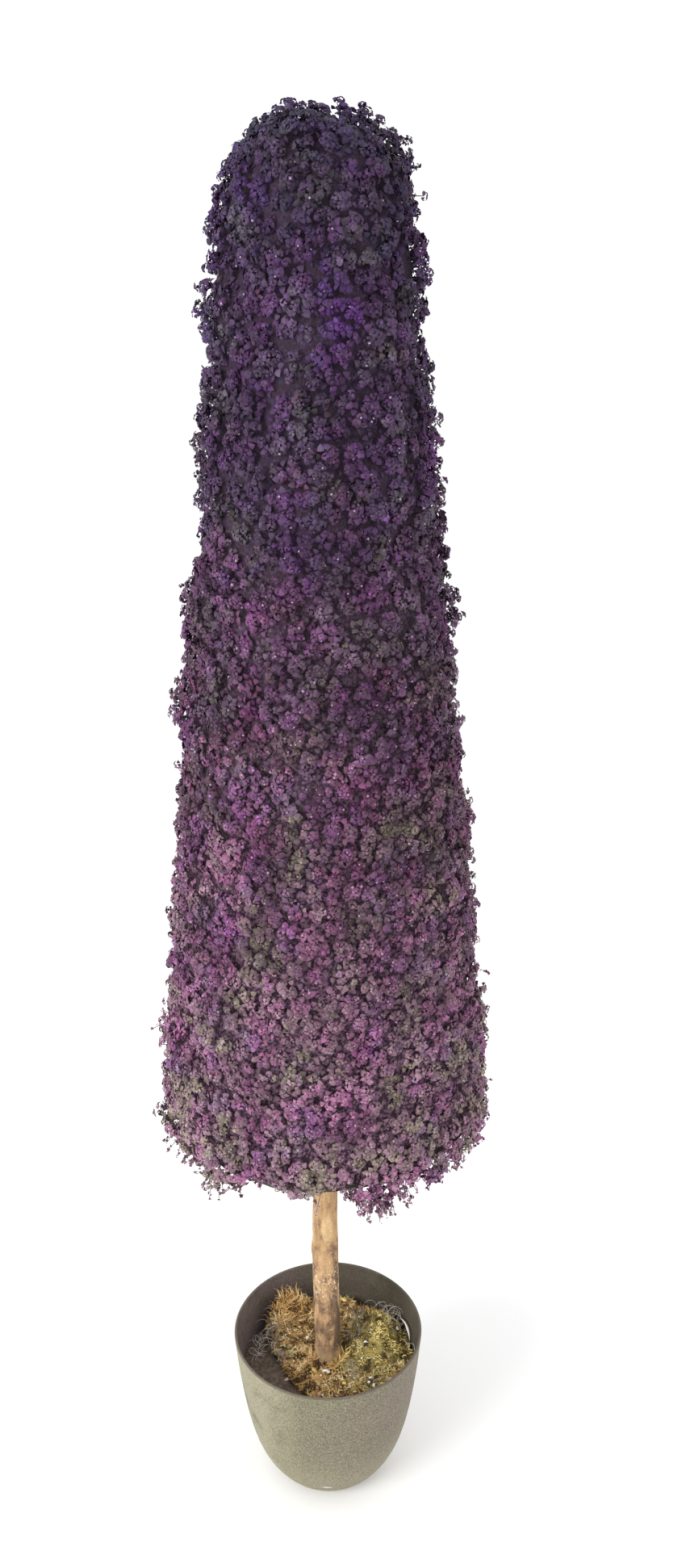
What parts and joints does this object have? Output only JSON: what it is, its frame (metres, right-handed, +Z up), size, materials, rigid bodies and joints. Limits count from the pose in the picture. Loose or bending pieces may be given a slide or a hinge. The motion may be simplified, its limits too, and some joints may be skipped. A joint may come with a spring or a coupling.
{
  "type": "artificial potted topiary tower",
  "caption": "Artificial topiary tower: a clipped, tapering column of tiny purple florets on a natural wood pole, set with moss in a round grey pot.",
  "frame": {"origin": "centre of the flat underside of the pot, which the plant stands on", "axes": "+Z up along the pole; -Y is the front, as seen in the picture; +X is the viewer's right"},
  "size_m": [0.3582, 0.3555, 1.5015],
  "materials": {
    "pot": "matte",
    "filler": "matte",
    "moss": "matte",
    "pole": "matte",
    "foliage": "matte"
  },
  "bodies": {
    "root": {"pot": "pot", "filler": "filler", "moss_brown": "moss", "moss_green": "moss", "trunk": "pole", "foliage_tier_1": "foliage", "foliage_tier_2": "foliage", "foliage_tier_3": "foliage", "foliage_tier_4": "foliage", "foliage_tier_5": "foliage", "foliage_tier_6": "foliage", "foliage_crown": "foliage"}
  },
  "joints": []
}
